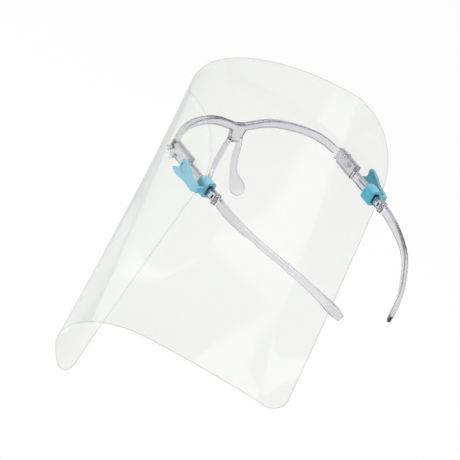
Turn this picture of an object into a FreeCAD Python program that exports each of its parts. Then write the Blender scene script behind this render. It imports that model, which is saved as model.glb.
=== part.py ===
import FreeCAD, Part
import math
import os

Vector = FreeCAD.Vector

# Clear face shield carried on a spectacle frame.
# +Z is up, the visor's front faces -Y, the wearer's left is +X, and the origin is on the
# visor's lower edge at the front, in the frame's middle plane. Lengths are millimetres,
# angles degrees.
DIMENSIONS = {
    # bent visor sheet: its section at the upper edge and at the lower edge
    "visor_height": 203,
    "visor_thickness": 0.5,
    "upper_setback": 5,
    "upper_left_radius": 91,
    "upper_right_radius": 82.5,
    "upper_front_angle": 52,
    "upper_front_share": 0.6,
    "upper_bend_radius": 5,
    "upper_flap_angle": 90,
    "upper_flap_length": 54,
    "lower_front_radius": 52.6,
    "lower_bend_radius": 30,
    "left_front_angle": 55,
    "left_cheek_radius": 100,
    "left_cheek_angle": 75,
    "left_flap_angle": 80,
    "left_flap_length": 34,
    "right_front_angle": 45,
    "right_cheek_radius": 500,
    "right_cheek_angle": 53,
    "right_flap_angle": 67.2,
    "right_flap_length": 34,
    # cut outline of the visor, seen from the side
    "visor_edge_depth": 82.5,
    "left_edge_lean": -24.5,
    "right_edge_lean": 4.5,
    "upper_corner_radius": 33,
    "left_corner_radius": 20,
    "right_corner_radius": 14,
    # front frame: brow bar, bridge and nose arms
    "brow_bridge_depth": 24,
    "brow_bridge_level": 167.5,
    "brow_arch_level": 171.5,
    "brow_bar_height": 5,
    "brow_bar_depth": 3.6,
    "bridge_width": 13,
    "bridge_drop": 9,
    "nose_arm_width": 4,
    "nose_arm_drop": 32,
    "nose_pad_width": 9,
    "nose_pad_thickness": 2.4,
    "nose_pad_spread": 13.5,
    # endpieces, with the tongue that carries the clip
    "seat_gap": 1,
    "endpiece_level": 167.2,
    "endpiece_width": 5.4,
    "endpiece_height": 9,
    "endpiece_front": 44.4,
    "endpiece_rear": 62,
    "tongue_level": 166,
    "tongue_width": 3.5,
    "tongue_height": 6,
    "edge_round": 1.1,
    # pegs that button the visor onto the endpieces
    "peg_radius": 1,
    "peg_clearance": 0.3,
    "peg_head_radius": 1.8,
    "peg_head_thickness": 0.8,
    "peg_head_gap": 0.65,
    "peg_front_depth": 48,
    "peg_front_level": 168,
    "peg_pitch": 4.6,
    "peg_fall": 2.4,
    # temple hinge behind the tongue, clear of the clip when it is slid back
    "clip_travel": 4,
    "clip_stop_gap": 1,
    "lug_radius": 2.2,
    "knuckle_height": 2.5,
    "knuckle_gap": 0.15,
    "knuckle_sweep_gap": 0.6,
    "pin_radius": 0.8,
    "pin_clearance": 0.05,
    "pin_stand": 0.3,
    # temples
    "temple_width": 3.2,
    "temple_waist": 4.6,
    "temple_tip_height": 6,
    "temple_reach": 84,
    "temple_inset": 46.5,
    "temple_droop": 16,
    # clips: a sleeve round the tongue and an outer two-tipped jaw that laps the visor's edge
    "sleeve_width": 7.6,
    "sleeve_height": 10,
    "sleeve_length": 7.5,
    "sleeve_clearance": 0.15,
    "sleeve_round": 2.4,
    "jaw_gap": 1,
    "jaw_thickness": 2,
    "jaw_length": 24,
    "jaw_height": 4.6,
    "jaw_tip_drop": 2.4,
    "jaw_horn_rise": 6.8,
    "jaw_horn_setback": 4.2,
    "jaw_web": 1.5,
    "thumb_hollow_radius": 3,
    "thumb_hollow_depth": 0.7,
    "visor_edge_gap": 0.7,
}
FOLLOWING = {
    "hinge_depth": "=visor_edge_depth + visor_edge_gap + jaw_web + clip_travel + clip_stop_gap"
    " + lug_radius + knuckle_sweep_gap",
}

doc = FreeCAD.newDocument("face_shield")
sheet = doc.addObject("Spreadsheet::Sheet", "dims")
cells = []


def enter(alias, content):
    """Adds one named cell to the sheet."""
    cells.append(alias)
    row = len(cells)
    sheet.set(f"A{row}", alias)
    sheet.set(f"B{row}", str(content))
    sheet.setAlias(f"B{row}", alias)


for alias, content in {**DIMENSIONS, **FOLLOWING}.items():
    enter(alias, content)
doc.recompute()


def size(alias):
    """Value of a dimension, read from its cell."""
    return float(getattr(sheet, alias))


def feature(label, shape):
    """Sub-part whose form is made by surface and bar functions below."""
    piece = doc.addObject("Part::Feature", label)
    piece.Shape = shape
    piece.Placement = FreeCAD.Placement()
    piece.Label = label
    return piece


def mirrored(shape):
    """The same form on the wearer's right."""
    return shape.mirror(Vector(0, 0, 0), Vector(1, 0, 0))


def both_sides(shape):
    return [shape, mirrored(shape)]


def rounded_section(centre, side, up, width, height, corner):
    """Closed rectangle with round corners, in the plane of side and up."""
    half_w = width / 2
    half_h = height / 2
    flat_w = half_w - corner
    flat_h = half_h - corner
    diagonal = corner * math.sqrt(0.5)
    edges = []
    turns = [(1, 1), (-1, 1), (-1, -1), (1, -1)]

    def point(a, b):
        return centre + side * a + up * b

    for index, (sx, sy) in enumerate(turns):
        across = point(sx * half_w, sy * flat_h)
        middle = point(sx * (flat_w + diagonal), sy * (flat_h + diagonal))
        above = point(sx * flat_w, sy * half_h)
        ends = [across, above] if sx * sy > 0 else [above, across]
        edges.append(Part.Arc(ends[0], middle, ends[1]).toShape())
        next_sx, next_sy = turns[(index + 1) % 4]
        if next_sy == sy:
            next_start = point(next_sx * flat_w, next_sy * half_h)
        else:
            next_start = point(next_sx * half_w, next_sy * flat_h)
        edges.append(Part.LineSegment(ends[1], next_start).toShape())
    return Part.Wire(edges)


def bar(stations, reference=Vector(0, 0, 1)):
    """Moulded bar through stations of centre, width, height and corner radius."""
    wires = []
    last = len(stations) - 1
    for index, (centre, width, height, corner) in enumerate(stations):
        ahead = stations[min(index + 1, last)][0]
        behind = stations[max(index - 1, 0)][0]
        along = (ahead - behind).normalize()
        side = along.cross(reference).normalize()
        up = side.cross(along)
        wires.append(rounded_section(centre, side, up, width, height, corner))
    return Part.makeLoft(wires, True, False)


def bar_along_depth(offset, level, width, height, corner, front, rear):
    """Straight bar of rounded section, from one depth to another."""
    wires = []
    for depth in (front, rear):
        centre = Vector(offset, depth, level)
        wires.append(rounded_section(centre, Vector(1, 0, 0), Vector(0, 0, 1), width, height, corner))
    return Part.makeLoft(wires, True, True)


def upright(radius, depth, low, high):
    """Vertical cylinder on the left hinge axis line."""
    base = Vector(size("endpiece_offset"), depth, low)
    return Part.makeCylinder(radius, high - low, base, Vector(0, 0, 1))


# Visor: one sheet, tightly folded at the upper corners and relaxing towards a wide lower edge
def plan_points(arcs, setback, flap_length, offset):
    """Half of a section in plan: the front, each arc's middle and end, and the flap's end."""
    centre_x = 0
    centre_y = setback + arcs[0][0]
    start = 0
    last_radius = arcs[0][0]
    points = [Vector(0, setback - offset, 0)]
    for radius, end_degrees in arcs:
        end = math.radians(end_degrees)
        centre_x += (last_radius - radius) * math.sin(start)
        centre_y -= (last_radius - radius) * math.cos(start)
        for angle in ((start + end) / 2, end):
            x = centre_x + (radius + offset) * math.sin(angle)
            y = centre_y - (radius + offset) * math.cos(angle)
            points.append(Vector(x, y, 0))
        start = end
        last_radius = radius
    points.append(points[-1] + Vector(math.cos(start), math.sin(start), 0) * flap_length)
    return points


def upper_half(side, offset):
    """Half of one face of the sheet at its upper edge."""
    front_radius = size(f"upper_{side}_radius")
    arcs = [
        (front_radius, size("upper_front_angle") * size("upper_front_share")),
        (front_radius, size("upper_front_angle")),
        (size("upper_bend_radius"), size("upper_flap_angle")),
    ]
    return plan_points(arcs, size("upper_setback"), size("upper_flap_length"), offset)


def lower_half(side, offset):
    """Half of one face of the sheet at its lower edge."""
    arcs = [
        (size("lower_front_radius"), size(f"{side}_front_angle")),
        (size(f"{side}_cheek_radius"), size(f"{side}_cheek_angle")),
        (size("lower_bend_radius"), size(f"{side}_flap_angle")),
    ]
    return plan_points(arcs, 0, size(f"{side}_flap_length"), offset)


def sheet_face(half_at, level, offset):
    """Edges of one face of the sheet at a level, from the right flap's end to the left's."""
    left = [Vector(point.x, point.y, level) for point in half_at("left", offset)]
    right = [Vector(-point.x, point.y, level) for point in half_at("right", offset)]
    edges = [Part.Arc(right[2], left[0], left[2]).toShape()]
    for index in (2, 4):
        edges.append(Part.Arc(*left[index:index + 3]).toShape())
        edges.insert(0, Part.Arc(*right[index:index + 3][::-1]).toShape())
    edges.append(Part.LineSegment(left[6], left[7]).toShape())
    edges.insert(0, Part.LineSegment(right[7], right[6]).toShape())
    return edges, right[7], left[7]


def sheet_section(half_at, level):
    """Closed outline of the sheet's thickness at one level."""
    half = size("visor_thickness") / 2
    outer, outer_right, outer_left = sheet_face(half_at, level, half)
    inner, inner_right, inner_left = sheet_face(half_at, level, -half)
    left_edge = Part.LineSegment(outer_left, inner_left).toShape()
    right_edge = Part.LineSegment(inner_right, outer_right).toShape()
    return Part.Wire(outer + [left_edge] + inner[::-1] + [right_edge])


visor_top = size("visor_height")
sheet_ends = [sheet_section(lower_half, 0), sheet_section(upper_half, visor_top)]
bent_sheet = Part.makeLoft(sheet_ends, True, True)
sheet_reach = 2 * size("upper_left_radius")


def edge_waste(lean, low_round):
    """Stock behind the left free edge and round its two corners, to be cut off."""
    top_round = size("upper_corner_radius")
    edge = size("visor_edge_depth")
    edge_low = edge + lean
    rear = edge + sheet_reach

    def at(depth, level):
        return Vector(size("upper_bend_radius"), depth, level)

    def on_arc(depth, level, radius, rise):
        return at(depth + radius * math.sqrt(0.5), level + rise * radius * math.sqrt(0.5))

    top_start = at(edge - top_round, visor_top)
    top_middle = on_arc(edge - top_round, visor_top - top_round, top_round, 1)
    top_end = at(edge, visor_top - top_round)
    low_start = at(edge_low, low_round)
    low_middle = on_arc(edge_low - low_round, low_round, low_round, -1)
    low_end = at(edge_low - low_round, 0)
    edges = [
        Part.Arc(top_start, top_middle, top_end).toShape(),
        Part.LineSegment(top_end, low_start).toShape(),
        Part.Arc(low_start, low_middle, low_end).toShape(),
        Part.LineSegment(low_end, at(rear, 0)).toShape(),
        Part.LineSegment(at(rear, 0), at(rear, visor_top)).toShape(),
        Part.LineSegment(at(rear, visor_top), top_start).toShape(),
    ]
    return Part.Face(Part.Wire(edges)).extrude(Vector(sheet_reach, 0, 0))


left_waste = edge_waste(size("left_edge_lean"), size("left_corner_radius"))
right_waste = mirrored(edge_waste(size("right_edge_lean"), size("right_corner_radius")))
visor_blank = bent_sheet.cut([left_waste, right_waste])
SIDES = (1, -1)
peg_places = []
for step in range(2):
    depth = size("peg_front_depth") + step * size("peg_pitch")
    level = size("peg_front_level") - step * size("peg_fall")
    peg_places.append((depth, level))


def sheet_span(sign, depth, level):
    """Offsets of the sheet's inner and outer face from the middle plane, on one side."""
    probe = Part.makeLine(Vector(0, depth, level), Vector(sign * sheet_reach, depth, level))
    inside = bent_sheet.common(probe).BoundBox
    return sorted([abs(inside.XMin), abs(inside.XMax)])


seats = {sign: [sheet_span(sign, *place)[0] for place in peg_places] for sign in SIDES}
seat = min(seats[1] + seats[-1])
enter("endpiece_offset", round(seat - size("seat_gap") - size("endpiece_width") / 2, 1))
doc.recompute()
endpiece_x = size("endpiece_offset")
block_outer = endpiece_x + size("endpiece_width") / 2
peg_grip = size("visor_thickness") + size("peg_head_gap")


def pegs(sign, radius, starts, ends):
    """Round studs along X on one endpiece, each from its own start to its own end."""
    studs = []
    for (depth, level), start, end in zip(peg_places, starts, ends):
        base = Vector(sign * start, depth, level)
        studs.append(Part.makeCylinder(radius, end - start, base, Vector(sign, 0, 0)))
    return studs


def peg_stops(sign):
    """Where each peg leaves its block, where its head begins, and where it ends."""
    shoulders = [inside + peg_grip for inside in seats[sign]]
    ends = [shoulder + size("peg_head_thickness") for shoulder in shoulders]
    return [block_outer] * len(ends), shoulders, ends


peg_holes = []
peg_studs = []
for sign in SIDES:
    roots, shoulders, ends = peg_stops(sign)
    peg_holes += pegs(sign, size("peg_radius") + size("peg_clearance"), roots, ends)
    peg_studs += pegs(sign, size("peg_radius"), [endpiece_x] * len(ends), ends)
    peg_studs += pegs(sign, size("peg_head_radius"), shoulders, ends)
visor_shape = visor_blank.cut(peg_holes)
feature("visor", visor_shape.Solids[0])

# Front frame: brow bar bowed over the eyes, bridge, nose arms with pads, endpieces and tongues
brow_depth = size("brow_bridge_depth")
bridge_level = size("brow_bridge_level")
arch_level = size("brow_arch_level")
brow_height = size("brow_bar_height")
brow_width = size("brow_bar_depth")
endpiece_z = size("endpiece_level")
edge_round = size("edge_round")
corner_depth = size("endpiece_front") + 2 * edge_round
corner_level = endpiece_z + (size("endpiece_height") - brow_height) / 2
sweep_back = corner_depth - brow_depth


def brow_station(share, back, level):
    """Station of the left half, at a share of the way out to the endpiece."""
    centre = Vector(endpiece_x * share, brow_depth + sweep_back * back, level)
    return (centre, brow_width, brow_height, edge_round)


left_brow = [
    brow_station(0.16, 0, bridge_level + (arch_level - bridge_level) * 0.45),
    brow_station(0.32, 0.02, arch_level),
    brow_station(0.56, 0.15, arch_level + 0.6),
    brow_station(0.78, 0.43, arch_level + 0.3),
    brow_station(0.92, 0.72, corner_level + 0.4),
    brow_station(1.0, 1.0, corner_level),
]
right_brow = [(Vector(-c.x, c.y, c.z), w, h, r) for c, w, h, r in left_brow]
brow_bar = bar(right_brow[::-1] + [brow_station(0, 0, bridge_level)] + left_brow)



def bridge_section(back, rise, width):
    """Level section of the bridge plate, at a rise above the bar's middle."""
    centre = Vector(0, brow_depth + back, bridge_level + rise)
    return rounded_section(centre, Vector(1, 0, 0), Vector(0, 1, 0), width, brow_width, edge_round)


bridge_width = size("bridge_width")
bridge_drop = size("bridge_drop")
bridge_plate = Part.makeLoft(
    [
        bridge_section(0, brow_height * 0.3, bridge_width),
        bridge_section(brow_width * 0.17, -bridge_drop * 0.5, bridge_width * 0.78),
        bridge_section(brow_width * 0.39, -bridge_drop, bridge_width * 0.72),
    ],
    True,
    False,
)

arm_width = size("nose_arm_width")
arm_drop = size("nose_arm_drop")
arm_top = bridge_level - bridge_drop * 0.7
pad_spread = size("nose_pad_spread")
pad_width = size("nose_pad_width")
pad_thick = size("nose_pad_thickness")


def arm_station(spread, back, drop, width, thickness):
    """Station of the left nose arm, at shares of the pad's spread and of the arm's drop."""
    centre = Vector(pad_spread * spread, brow_depth + back, arm_top - arm_drop * drop)
    return (centre, thickness, width, min(width, thickness) * 0.4)


nose_arm = bar(
    [
        arm_station(0.24, 1.2, 0, arm_width, arm_width * 0.8),
        arm_station(0.42, 2.8, 0.30, arm_width, arm_width * 0.8),
        arm_station(0.57, 5.0, 0.60, arm_width * 1.05, arm_width * 0.75),
        arm_station(0.72, 8.0, 0.77, arm_width * 1.5, pad_thick),
        arm_station(0.86, 11.0, 0.88, pad_width, pad_thick),
        arm_station(0.99, 13.4, 0.97, pad_width * 0.8, pad_thick * 0.9),
        arm_station(1.04, 14.4, 1.0, pad_width * 0.4, pad_thick * 0.7),
    ],
    Vector(0.66, 0.75, 0),
)

tongue_z = size("tongue_level")
tongue_height = size("tongue_height")
hinge_y = size("hinge_depth")
lug_radius = size("lug_radius")
knuckle_slot = size("knuckle_height") + 2 * size("knuckle_gap")
slot_reach = lug_radius + size("knuckle_sweep_gap")
block = bar_along_depth(
    endpiece_x, endpiece_z, size("endpiece_width"), size("endpiece_height"), edge_round * 1.6,
    size("endpiece_front"), size("endpiece_rear"),
)
tongue = bar_along_depth(
    endpiece_x, tongue_z, size("tongue_width"), tongue_height, edge_round,
    size("endpiece_rear") - 2 * edge_round, hinge_y,
)
lug = upright(lug_radius, hinge_y, tongue_z - tongue_height / 2, tongue_z + tongue_height / 2)
slot = Part.makeBox(
    4 * lug_radius, 2 * slot_reach, knuckle_slot,
    Vector(endpiece_x - 2 * lug_radius, hinge_y - slot_reach, tongue_z - knuckle_slot / 2),
)
pin_low = tongue_z - tongue_height / 2 - size("pin_stand")
pin_high = tongue_z + tongue_height / 2 + size("pin_stand")
pin_hole = upright(size("pin_radius") + size("pin_clearance"), hinge_y, pin_low, pin_high)
side_piece = block.fuse([tongue, lug])
side_piece = side_piece.cut(slot).cut(pin_hole)
frame_parts = [bridge_plate] + both_sides(nose_arm) + both_sides(side_piece) + peg_studs
frame_shape = brow_bar.fuse(frame_parts)
feature("front_frame", frame_shape.removeSplitter().Solids[0])

# Temples: hinged behind the tongues, curling in behind the ears, with dropped broad tips
temple_width = size("temple_width")
waist = size("temple_waist")
tip_height = size("temple_tip_height")
neck_gap = slot_reach


def temple_station(inset, reach, droop, width, height):
    """Station of the left temple at shares of its inset, reach and droop from the hinge."""
    centre = Vector(
        endpiece_x - size("temple_inset") * inset,
        hinge_y + neck_gap + (size("temple_reach") - neck_gap) * reach,
        tongue_z - size("temple_droop") * droop,
    )
    return (centre, width, height, min(width, height) * 0.36)


temple_bar = bar(
    [
        temple_station(0, 0, 0, temple_width, tongue_height),
        temple_station(0.01, 0.09, 0.03, temple_width, tongue_height),
        temple_station(0.10, 0.30, 0.10, temple_width * 0.94, waist * 1.1),
        temple_station(0.27, 0.51, 0.19, temple_width * 0.88, waist),
        temple_station(0.48, 0.68, 0.34, temple_width * 0.88, waist * 1.06),
        temple_station(0.77, 0.875, 0.65, temple_width * 0.9, tip_height * 0.95),
        temple_station(0.95, 0.97, 0.92, temple_width * 0.9, tip_height),
        temple_station(1.0, 1.0, 1.0, temple_width * 0.6, tip_height * 0.7),
    ]
)
knuckle_low = tongue_z - size("knuckle_height") / 2
knuckle_high = tongue_z + size("knuckle_height") / 2
knuckle = upright(lug_radius, hinge_y, knuckle_low, knuckle_high)
neck = Part.makeBox(
    temple_width * 0.9, neck_gap + edge_round, size("knuckle_height"),
    Vector(endpiece_x - temple_width * 0.45, hinge_y, knuckle_low),
)
temple_shape = temple_bar.fuse([knuckle, neck]).cut(pin_hole).removeSplitter().Solids[0]
feature("temple_left", temple_shape)
feature("temple_right", mirrored(temple_shape))

# Hinge pins: plain steel pins through lugs and knuckle
for side, sign in (("left", 1), ("right", -1)):
    pin = doc.addObject("Part::Cylinder", f"hinge_pin_{side}")
    pin.Label = f"hinge_pin_{side}"
    pin.setExpression("Radius", "dims.pin_radius")
    pin.setExpression("Height", "dims.tongue_height + 2 * dims.pin_stand")
    pin.setExpression("Placement.Base.x", f"{sign} * dims.endpiece_offset")
    pin.setExpression("Placement.Base.y", "dims.hinge_depth")
    pin.setExpression("Placement.Base.z", "dims.tongue_level - dims.tongue_height / 2 - dims.pin_stand")

# Clips: sleeve round the tongue, web behind the visor's edge and two-tipped jaw outside it
WEB_REAR = "(dims.visor_edge_depth + dims.visor_edge_gap + dims.jaw_web)"
SLEEVE_FRONT = f"({WEB_REAR} - dims.sleeve_length)"
SLEEVE_INNER = "(dims.endpiece_offset - dims.sleeve_width / 2)"
SLEEVE_LOW = "(dims.tongue_level - dims.sleeve_height / 2)"


def block_of(name, length, depth, height, x, y, z):
    """Rectangular block whose size and place are expressions on the driving dimensions."""
    solid = doc.addObject("Part::Box", name)
    solid.setExpression("Length", length)
    solid.setExpression("Width", depth)
    solid.setExpression("Height", height)
    solid.setExpression("Placement.Base.x", x)
    solid.setExpression("Placement.Base.y", y)
    solid.setExpression("Placement.Base.z", z)
    return solid


sleeve_block = block_of(
    "sleeve_block", "dims.sleeve_width", "dims.sleeve_length", "dims.sleeve_height",
    SLEEVE_INNER, SLEEVE_FRONT, SLEEVE_LOW,
)
doc.recompute()
long_edges = []
for index, edge in enumerate(sleeve_block.Shape.Edges, start=1):
    ends = [vertex.Point for vertex in edge.Vertexes]
    if abs(ends[0].y - ends[1].y) > size("sleeve_length") / 2:
        long_edges.append((index, size("sleeve_round"), size("sleeve_round")))
sleeve = doc.addObject("Part::Fillet", "sleeve")
sleeve.Base = sleeve_block
sleeve.Edges = long_edges

tongue_room = block_of(
    "tongue_room",
    "dims.tongue_width + 2 * dims.sleeve_clearance",
    "3 * dims.sleeve_length",
    "dims.tongue_height + 2 * dims.sleeve_clearance",
    "dims.endpiece_offset - dims.tongue_width / 2 - dims.sleeve_clearance",
    f"{SLEEVE_FRONT} - dims.sleeve_length",
    "dims.tongue_level - dims.tongue_height / 2 - dims.sleeve_clearance",
)
sleeve_rear = size("visor_edge_depth") + size("visor_edge_gap") + size("jaw_web")
jaw_length = size("jaw_length")
jaw_height = size("jaw_height")
jaw_thick = size("jaw_thickness")
jaw_front = sleeve_rear - jaw_length
tip_level = tongue_z - size("jaw_tip_drop")
horn_level = tongue_z + size("jaw_horn_rise")
jaw_faces = [
    sheet_span(sign, depth, level)[1]
    for sign in SIDES
    for depth in (jaw_front, size("visor_edge_depth"))
    for level in (tip_level - jaw_height * 0.3, horn_level)
]
jaw_inner = round(max(jaw_faces) + size("jaw_gap"), 1)
horn_depth = jaw_front + size("jaw_horn_setback")
horn_height = horn_level - tip_level


def jaw_plate():
    """Outer jaw: an S-edged plate with a low front tip and a raised horn, scooped between."""
    outline = [
        (sleeve_rear, tip_level + jaw_height * 0.5),
        (sleeve_rear - jaw_length * 0.09, tip_level + jaw_height * 0.95),
        (sleeve_rear - jaw_length * 0.3, tip_level + jaw_height * 1.1),
        (sleeve_rear - jaw_length * 0.5, horn_level - horn_height * 0.22),
        (horn_depth + jaw_length * 0.12, horn_level - horn_height * 0.02),
        (horn_depth, horn_level),
        (horn_depth - jaw_length * 0.02, horn_level - horn_height * 0.16),
        (horn_depth + jaw_length * 0.01, horn_level - horn_height * 0.5),
        (jaw_front + jaw_length * 0.08, tip_level + horn_height * 0.2),
        (jaw_front, tip_level),
        (jaw_front + jaw_length * 0.05, tip_level - jaw_height * 0.15),
        (jaw_front + jaw_length * 0.28, tip_level - jaw_height * 0.3),
        (sleeve_rear - jaw_length * 0.4, tip_level - jaw_height * 0.1),
        (sleeve_rear - jaw_length * 0.06, tip_level - jaw_height * 0.05),
    ]
    edge = Part.BSplineCurve()
    edge.interpolate([Vector(jaw_inner, depth, level) for depth, level in outline], PeriodicFlag=True)
    plate = Part.Face(Part.Wire([edge.toShape()])).extrude(Vector(jaw_thick, 0, 0))
    hollow_deep = size("thumb_hollow_depth")
    hollow_base = Vector(
        jaw_inner + jaw_thick - hollow_deep,
        horn_depth + jaw_length * 0.14,
        horn_level - horn_height * 0.42,
    )
    hollow = Part.makeCylinder(
        size("thumb_hollow_radius"), 2 * hollow_deep, hollow_base, Vector(1, 0, 0)
    )
    return plate.cut(hollow)


web_inner = endpiece_x + size("sleeve_width") / 4
web_outer = jaw_inner + jaw_thick
web_solid = bar_along_depth(
    (web_inner + web_outer) / 2,
    tip_level + jaw_height * 0.45,
    web_outer - web_inner,
    jaw_height * 0.86,
    jaw_height * 0.2,
    sleeve_rear - size("jaw_web"),
    sleeve_rear,
)
jaw = feature("jaw", jaw_plate())
jaw_web = feature("jaw_web", web_solid)
clip_blank = doc.addObject("Part::MultiFuse", "clip_blank")
clip_blank.Shapes = [sleeve, jaw, jaw_web]
clip_left = doc.addObject("Part::Cut", "clip_left")
clip_left.Label = "clip_left"
clip_left.Base = clip_blank
clip_left.Tool = tongue_room
clip_right = doc.addObject("Part::Mirroring", "clip_right")
clip_right.Label = "clip_right"
clip_right.Source = clip_left
clip_right.Normal = Vector(1, 0, 0)
doc.recompute()

NODES = [
    "visor",
    "front_frame",
    "temple_left",
    "temple_right",
    "hinge_pin_left",
    "hinge_pin_right",
    "clip_left",
    "clip_right",
]
for item in doc.Objects:
    if "Invalid" in item.State or "Error" in item.State:
        raise RuntimeError(f"{item.Label} did not build: {item.State}")
for node in NODES:
    shape = doc.getObjectsByLabel(node)[0].Shape
    if shape.isNull() or not shape.isValid() or not shape.Solids:
        raise RuntimeError(f"{node} has no sound solid")
    print(node, len(shape.Solids), round(shape.Volume, 1), shape.BoundBox)

os.makedirs("parts", exist_ok=True)
for node in NODES:
    doc.getObjectsByLabel(node)[0].Shape.exportStep(f"parts/{node}.step")
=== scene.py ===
import math

import bpy
from mathutils import Matrix, Vector

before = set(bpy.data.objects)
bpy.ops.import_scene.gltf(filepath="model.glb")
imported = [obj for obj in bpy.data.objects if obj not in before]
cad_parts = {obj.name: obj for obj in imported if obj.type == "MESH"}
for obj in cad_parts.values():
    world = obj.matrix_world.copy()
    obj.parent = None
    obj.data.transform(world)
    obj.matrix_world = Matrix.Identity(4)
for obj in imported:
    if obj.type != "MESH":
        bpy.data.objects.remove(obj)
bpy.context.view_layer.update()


# Front frame: one clear polycarbonate moulding with brow bar, bridge, nose arms and pads,
# endpieces and the two tongues. It is injection moulded with a gloss, so it shows pale
# lilac-grey with darker rims and a trace of flow lines.
class Signal:
    """One shader socket. Arithmetic on it adds Math nodes."""

    def __init__(self, tree, socket):
        self.tree = tree
        self.socket = socket

    def maths(self, operation, *values):
        node = self.tree.nodes.new("ShaderNodeMath")
        node.operation = operation
        for socket, value in zip(node.inputs, values):
            plug(self.tree, socket, value)
        return Signal(self.tree, node.outputs[0])

    def __add__(self, other):
        return self.maths("ADD", self, other)

    def __radd__(self, other):
        return self.maths("ADD", other, self)

    def __sub__(self, other):
        return self.maths("SUBTRACT", self, other)

    def __rsub__(self, other):
        return self.maths("SUBTRACT", other, self)

    def __mul__(self, other):
        return self.maths("MULTIPLY", self, other)

    def __rmul__(self, other):
        return self.maths("MULTIPLY", other, self)

    def __pow__(self, other):
        return self.maths("POWER", self, other)

    def above(self, level):
        return self.maths("GREATER_THAN", self, level)

    def largest(self, other):
        return self.maths("MAXIMUM", self, other)

    def clamped(self):
        return self.maths("MAXIMUM", self.maths("MINIMUM", self, 1.0), 0.0)


def plug(tree, socket, value):
    """Links a signal to a socket, or sets the socket's own value."""
    if isinstance(value, Signal):
        tree.links.new(value.socket, socket)
    else:
        socket.default_value = value


class Wiring:
    """The nodes of one shader tree, which it starts by emptying."""

    def __init__(self, tree):
        self.tree = tree
        self.tree.nodes.clear()

    def make(self, kind, settings=None, sockets=None):
        """Adds one node: its settings first, then the values or links of its sockets."""
        node = self.tree.nodes.new(kind)
        for key, value in (settings or {}).items():
            if key == "stops":
                for stop, (position, colour) in zip(node.color_ramp.elements, value):
                    stop.position = position
                    stop.color = colour
            else:
                setattr(node, key, value)
        for key, value in (sockets or {}).items():
            plug(self.tree, node.inputs[key], value)
        return {output.name: Signal(self.tree, output) for output in node.outputs}


class Finish(Wiring):
    """A surface finish: its material and the nodes that shade it."""

    def __init__(self, name):
        self.material = bpy.data.materials.new(name)
        self.material.use_nodes = True
        super().__init__(self.material.node_tree)
        self.place = self.make("ShaderNodeTexCoord")["Object"]

    def noise(self, scale, detail=3.0, roughness=0.5):
        sockets = {"Vector": self.place, "Scale": scale, "Detail": detail, "Roughness": roughness}
        return self.make("ShaderNodeTexNoise", None, sockets)["Fac"]

    def colours(self, amount, low, high):
        """Colour between two, by an amount from 0 to 1."""
        stops = [(0.0, (*low, 1.0)), (1.0, (*high, 1.0))]
        return self.make("ShaderNodeValToRGB", {"stops": stops}, {"Fac": amount})["Color"]

    def bump(self, height, strength, distance):
        sockets = {"Height": height, "Strength": strength, "Distance": distance}
        return self.make("ShaderNodeBump", None, sockets)["Normal"]

    def blend(self, amount, under, over):
        sockets = {"Fac": amount, 1: under, 2: over}
        return self.make("ShaderNodeMixShader", None, sockets)["Shader"]

    def shows(self, shader, body=None):
        """Ends the material with its surface, and with what fills the body where light passes."""
        sockets = {"Surface": shader} if body is None else {"Surface": shader, "Volume": body}
        self.make("ShaderNodeOutputMaterial", None, sockets)
        return self.material


def dress(names, material):
    """Gives carried-over nodes a finish."""
    for name in names:
        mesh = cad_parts[name].data
        mesh.materials.clear()
        mesh.materials.append(material)


def soften(names, width):
    """Rounds the sharp edges of carried-over nodes by a little, as moulded edges are."""
    for name in names:
        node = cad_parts[name]
        joined = node.modifiers.new("joined_faces", "WELD")
        joined.merge_threshold = 1e-6
        rounded = node.modifiers.new("rounded_edges", "BEVEL")
        rounded.width = width
        rounded.segments = 3
        rounded.limit_method = "ANGLE"
        rounded.angle_limit = math.radians(40.0)
        node.modifiers.new("even_shading", "WEIGHTED_NORMAL")


clear_edge_round = 0.0003
clear_deep = (0.785, 0.775, 0.82)
clear_pale = (0.94, 0.932, 0.96)
clear = Finish("clear_moulding")
flow = clear.noise(140.0, 3.0)
speck = clear.noise(900.0, 2.0, 0.6)
clear_skin = clear.make(
    "ShaderNodeBsdfPrincipled",
    None,
    {
        "Base Color": clear.colours(flow, clear_deep, clear_pale),
        "Roughness": 0.07 + speck * 0.05,
        "IOR": 1.58,
        "Transmission Weight": 1.0,
        "Normal": clear.bump(flow * 0.8 + speck * 0.2, 0.18, 0.0009),
    },
)["BSDF"]
tinge = {"Color": (0.685, 0.67, 0.72, 1.0), "Density": 120.0}
clear_body = clear.make("ShaderNodeVolumeAbsorption", None, tinge)["Volume"]
clear_finish = clear.shows(clear_skin, clear_body)
dress(["front_frame"], clear_finish)
soften(["front_frame"], clear_edge_round)


# Visor: a sheet of clear PET film, die cut, bent round the frame's two corners and buttoned
# over the endpieces' pegs. Its faces are polished. A narrow band along its cut edge, its upper
# and lower edges and its round corners gets painted shade: a darker, less clear colour that
# stands in for the dark lines that refraction draws at a film's edges.
film_top = 0.203
edge_shade_band = 0.0006
upper_corner = 0.033
upper_corner_depth = 0.0495
upper_corner_level = 0.170
left_corner = 0.020
left_edge_low = 0.058
left_edge_slope = 0.1633
left_corner_depth = 0.038
right_corner = 0.014
right_edge_low = 0.087
right_edge_slope = 0.0288
right_corner_depth = 0.073
film = Finish("visor_film")
axes = film.make("ShaderNodeSeparateXYZ", None, {"Vector": film.place})
across, depth, level = axes["X"], axes["Y"], axes["Z"]


def corner_shade_band(centre_depth, centre_level, radius, rise):
    """1 on the painted edge-shade band of a round corner that opens rearwards and up (rise 1) or
    down (-1).
    """
    back_from = (depth - centre_depth).largest(0.0)
    up_from = ((level - centre_level) * rise).largest(0.0)
    inside = back_from.above(0.0) * up_from.above(0.0)
    return inside * ((back_from ** 2.0 + up_from ** 2.0) ** 0.5).above(radius - edge_shade_band)


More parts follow.
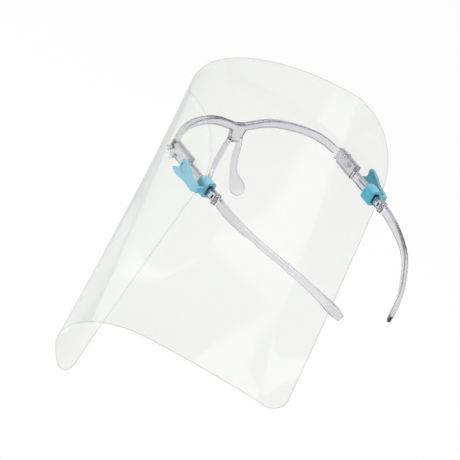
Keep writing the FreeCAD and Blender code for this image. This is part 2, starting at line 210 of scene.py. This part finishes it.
on_left = across.above(0.0)
left_edge = left_edge_low + (level - left_corner) * left_edge_slope
right_edge = right_edge_low - (level - right_corner) * right_edge_slope
free_edge = right_edge + on_left * (left_edge - right_edge)
# Painted shade: this mask marks a band along the free edge, the upper and lower edges and the round
# corners.
painted_edge_shade = (depth - free_edge).above(-edge_shade_band)
painted_edge_shade = painted_edge_shade.largest((level * -1.0).above(-edge_shade_band)).largest(level.above(film_top - edge_shade_band))
painted_edge_shade = painted_edge_shade.largest(corner_shade_band(upper_corner_depth, upper_corner_level, upper_corner, 1.0))
painted_edge_shade = painted_edge_shade.largest(on_left * corner_shade_band(left_corner_depth, left_corner, left_corner, -1.0))
on_right = 1.0 - on_left
painted_edge_shade = painted_edge_shade.largest(on_right * corner_shade_band(right_corner_depth, right_corner, right_corner, -1.0))
haze = film.noise(28.0, 4.0, 0.55)
grazing = film.make("ShaderNodeLayerWeight", None, {"Blend": 0.5})["Facing"]
film_tint = {"Color": (0.955, 0.960, 0.950, 1.0)}
see_through = film.make("ShaderNodeBsdfTransparent", None, film_tint)["BSDF"]
film_face = (0.84, 0.86, 0.84)
# Painted shade: the darker colour of that edge band.
film_edge_shade = (0.46, 0.48, 0.47)
skin_of_film = film.make(
    "ShaderNodeBsdfPrincipled",
    None,
    {
        "Base Color": film.colours(painted_edge_shade, film_face, film_edge_shade),
        "Roughness": 0.1 + haze * 0.1,
        "IOR": 1.57,
        "Normal": film.bump(haze, 0.06, 0.001),
    },
)["BSDF"]
# The veil is random haze, plus painted shade on the edge band.
veil = (0.015 + haze * 0.02 + painted_edge_shade * 0.2).clamped()
shine = film.make("ShaderNodeBsdfGlossy", None, {"Roughness": 0.1})["BSDF"]
mirror = 0.022 + (grazing ** 5.0) * 0.4
veiled_film = film.blend(veil, see_through, skin_of_film)
dress(["visor"], film.shows(film.blend(mirror, veiled_film, shine)))


# Clips: teal moulded nylon, one on each endpiece tongue. The sleeve runs on the tongue, and
# the two-tipped jaw with its thumb hollow laps the visor's edge from outside, clear of it.
clip_edge_round = 0.0005
shade_deep_teal = (0.0, 0.34, 0.48)
lit_pale_teal = (0.19, 0.46, 0.57)
clip_names = ["clip_left", "clip_right"]
teal = Finish("clip_teal")
cloud = teal.noise(160.0, 3.0)
grain = teal.noise(2400.0, 2.0, 0.6)
facing = teal.make("ShaderNodeNewGeometry")["Normal"]
leaning = teal.make("ShaderNodeSeparateXYZ", None, {"Vector": facing})
clip_axes = teal.make("ShaderNodeSeparateXYZ", None, {"Vector": teal.place})
side = clip_axes["X"].above(0.0) * 2.0 - 1.0
outward = leaning["X"] * side
# Painted light and shade: faces turned up and outward get the paler teal, as if lit from above, and
# faces turned down and inward get the deeper teal as painted shade. The cloud noise adds random
# tone.
painted_light_and_tone = (0.6 + outward * 0.4 + leaning["Z"] * 0.3 + (cloud - 0.5) * 0.8).clamped()
clip_skin = teal.make(
    "ShaderNodeBsdfPrincipled",
    None,
    {
        "Base Color": teal.colours(painted_light_and_tone, shade_deep_teal, lit_pale_teal),
        "Roughness": 0.22 + grain * 0.16,
        "Coat Weight": 0.35,
        "Coat Roughness": 0.08,
        "Normal": teal.bump(grain, 0.12, 0.0002),
    },
)["BSDF"]
dress(clip_names, teal.shows(clip_skin))
soften(clip_names, clip_edge_round)


# Hinge pins: plain drawn steel pins with a faintly uneven finish. Each runs through the fork
# at the rear of the front and through the knuckle of its temple, which turns on it.
dark_steel = (0.36, 0.36, 0.38)
bright_steel = (0.62, 0.62, 0.64)
steel = Finish("pin_steel")
drawn = steel.noise(1500.0, 2.0)
pin_skin = steel.make(
    "ShaderNodeBsdfPrincipled",
    None,
    {
        "Base Color": steel.colours(drawn, dark_steel, bright_steel),
        "Metallic": 1.0,
        "Roughness": 0.25 + drawn * 0.2,
    },
)["BSDF"]
dress(["hinge_pin_left", "hinge_pin_right"], steel.shows(pin_skin))


# Temples: clear polycarbonate mouldings with the front's finish, curled in and drooped to the
# ears. Each has a knuckle that sits in the front's fork behind the clip.
temple_names = ["temple_left", "temple_right"]
dress(temple_names, clear_finish)
soften(temple_names, clear_edge_round)


# Stage: a white table top under the standing shield and a white room round it, lit from above
# by one soft lamp. The room has a dark band low down, and the table has white cards, that only
# reflections and refractions show: they draw the clear pieces' rims and the film's highlights.
floor_reach = 30.0
floor_level = -0.0004
floor_plan = ((-1, -1), (1, -1), (1, 1), (-1, 1))
floor_corners = [(x * floor_reach, y * floor_reach, floor_level) for x, y in floor_plan]
floor_mesh = bpy.data.meshes.new("table_top")
floor_mesh.from_pydata(floor_corners, [], [(0, 1, 2, 3)])
floor = bpy.data.objects.new("table_top", floor_mesh)
bpy.context.collection.objects.link(floor)
pure_white = (1.0, 1.0, 1.0, 1.0)
paper = Finish("white_paper")
seen = paper.make("ShaderNodeLightPath")
tooth = paper.noise(60.0, 2.0)
paper_colour = paper.colours(tooth, (0.93, 0.93, 0.93), (0.95, 0.95, 0.95))
matt = paper.make(
    "ShaderNodeBsdfPrincipled", None, {"Base Color": paper_colour, "Roughness": 0.9}
)["BSDF"]
white = paper.make("ShaderNodeEmission", None, {"Color": pure_white, "Strength": 1.0})["Emission"]
direct = seen["Is Camera Ray"].largest(seen["Is Glossy Ray"]).largest(seen["Is Transmission Ray"])
floor_mesh.materials.append(paper.shows(paper.blend(direct * 0.9, matt, white)))

room_light = 0.62
room_shown = 0.38
dark_band_low = 0.02
dark_band_high = 0.30
dark_band_depth = 0.7
world = bpy.data.worlds.new("studio")
bpy.context.scene.world = world
world.use_nodes = True
sky = Wiring(world.node_tree)
way = sky.make("ShaderNodeLightPath")
direction = sky.make("ShaderNodeTexCoord")["Generated"]
heading = sky.make("ShaderNodeSeparateXYZ", None, {"Vector": direction})["Z"]
dark_band = heading.above(dark_band_low) * (1.0 - heading.above(dark_band_high))
mirrored = way["Is Glossy Ray"].largest(way["Is Transmission Ray"])
shown = way["Is Camera Ray"].largest(mirrored)
room_strength = room_light + shown * room_shown - mirrored * dark_band * dark_band_depth
glow = sky.make(
    "ShaderNodeBackground", None, {"Color": pure_white, "Strength": room_strength}
)["Background"]
sky.make("ShaderNodeOutputWorld", None, {"Surface": glow})

lamp_width = 0.6
lamp_place = Vector((0.35, 0.25, 0.95))
lamp_aim = Vector((0.0, 0.05, 0.14))
lamp = bpy.data.lights.new("key_softbox", "AREA")
lamp.shape = "RECTANGLE"
lamp.size = lamp_width
lamp.size_y = lamp_width
lamp.energy = 6.0
lamp_holder = bpy.data.objects.new("key_softbox", lamp)
bpy.context.collection.objects.link(lamp_holder)
lamp_holder.location = lamp_place
lamp_holder.rotation_euler = (lamp_aim - lamp_place).to_track_quat("-Z", "Y").to_euler()
lamp_holder.visible_camera = False

card_level = -0.0002
millimetre = 0.001


def light_card(name, plan, strength):
    """Flat white card on the table that only reflections see, from its plan in millimetres."""
    card_mesh = bpy.data.meshes.new(name)
    corners = [(x * millimetre, y * millimetre, card_level) for x, y in plan]
    card_mesh.from_pydata(corners, [], [tuple(range(len(plan)))])
    holder = bpy.data.objects.new(name, card_mesh)
    bpy.context.collection.objects.link(holder)
    for ray in ("camera", "diffuse", "transmission", "shadow", "volume_scatter"):
        setattr(holder, "visible_" + ray, False)
    lit = Finish(name)
    sockets = {"Color": pure_white, "Strength": strength}
    card_mesh.materials.append(lit.shows(lit.make("ShaderNodeEmission", None, sockets)["Emission"]))


cheek_plan = [
    (-85, 72), (-55, 38), (-34, 64), (-14, 90), (2, 109), (28, 131), (58, 148), (105, 180),
    (285, 300), (345, 360), (245, 470), (152, 272), (48, 154), (-8, 107), (-46, 82),
]
flap_plan = [
    (110, 25), (155, -20), (300, -120), (420, -200), (420, -290), (245, -150), (150, -68), (95, -8),
]
bend_plan = [(36, 10), (0, -40), (-60, -160), (100, -160), (75, -90), (50, -20)]
light_card("cheek_card", cheek_plan, 2.5)
light_card("flap_card", flap_plan, 3.2)
light_card("bend_card", bend_plan, 1.4)


# Camera: at the photograph's angle, above and behind the wearer's left and rolled to one side.
# It stands far off with a long lens, so that the view is nearly parallel.
camera_distance = 3.0
right = Vector((-0.7283, 0.5160, 0.4508)).normalized()
back = Vector((0.6845, 0.5775, 0.4449)).normalized()
up = back.cross(right)
aim = Vector((-0.00915, 0.0496, 0.1116))
lens_data = bpy.data.cameras.new("camera")
lens_data.sensor_width = 36.0
lens_data.lens = 403.9
lens_data.clip_end = 100.0
camera = bpy.data.objects.new("camera", lens_data)
bpy.context.collection.objects.link(camera)
turn = Matrix((right, up, back)).transposed().to_4x4()
camera.matrix_world = Matrix.Translation(aim + back * camera_distance) @ turn
bpy.context.scene.camera = camera
bpy.context.scene.view_settings.view_transform = "Standard"
